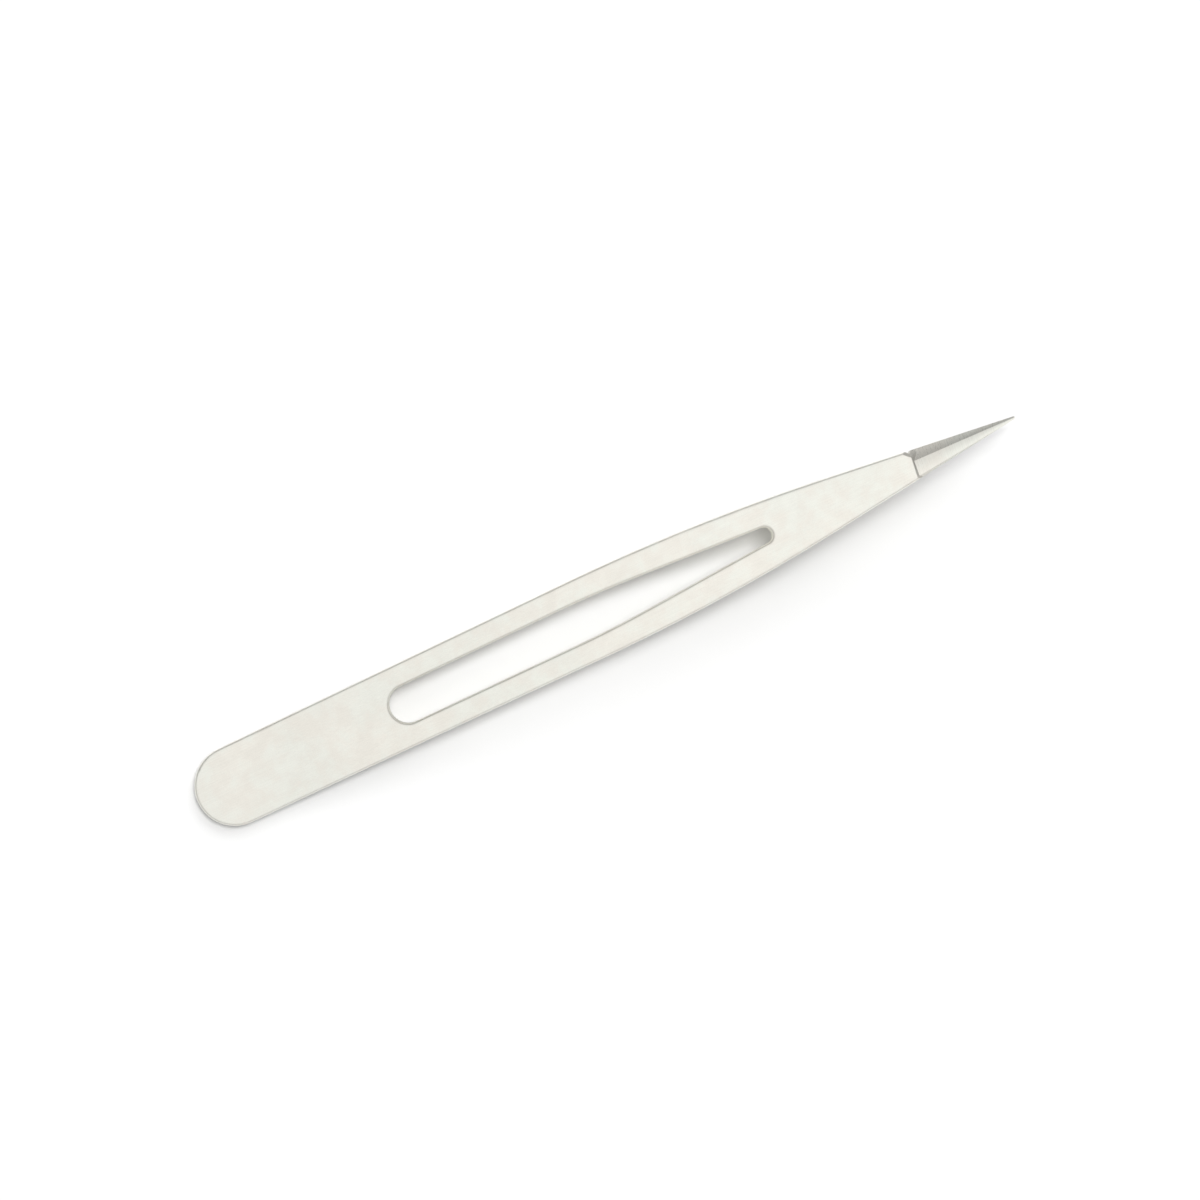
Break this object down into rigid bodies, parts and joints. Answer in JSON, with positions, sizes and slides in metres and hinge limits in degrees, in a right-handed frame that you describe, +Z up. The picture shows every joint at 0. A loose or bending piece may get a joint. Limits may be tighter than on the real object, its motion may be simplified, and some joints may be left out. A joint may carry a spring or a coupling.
{
  "type": "pointed tweezers",
  "caption": "Slotted tweezers with ridged, finely pointed tips: matching bowed steel arms welded at the rounded heel, lying open on their side.",
  "frame": {"origin": "on the surface that the tweezers lie on, below the middle of their box", "axes": "+X along the tweezers from the heel to the points, +Y across the broad faces of the arms, +Z up"},
  "size_m": [0.12, 0.0112, 0.0138],
  "materials": {
    "satin_steel": "fine satin, pale, with softly tumbled edges and finely ground tips"
  },
  "bodies": {
    "root": {"upper_arm": "satin_steel", "lower_arm": "satin_steel"}
  },
  "joints": []
}
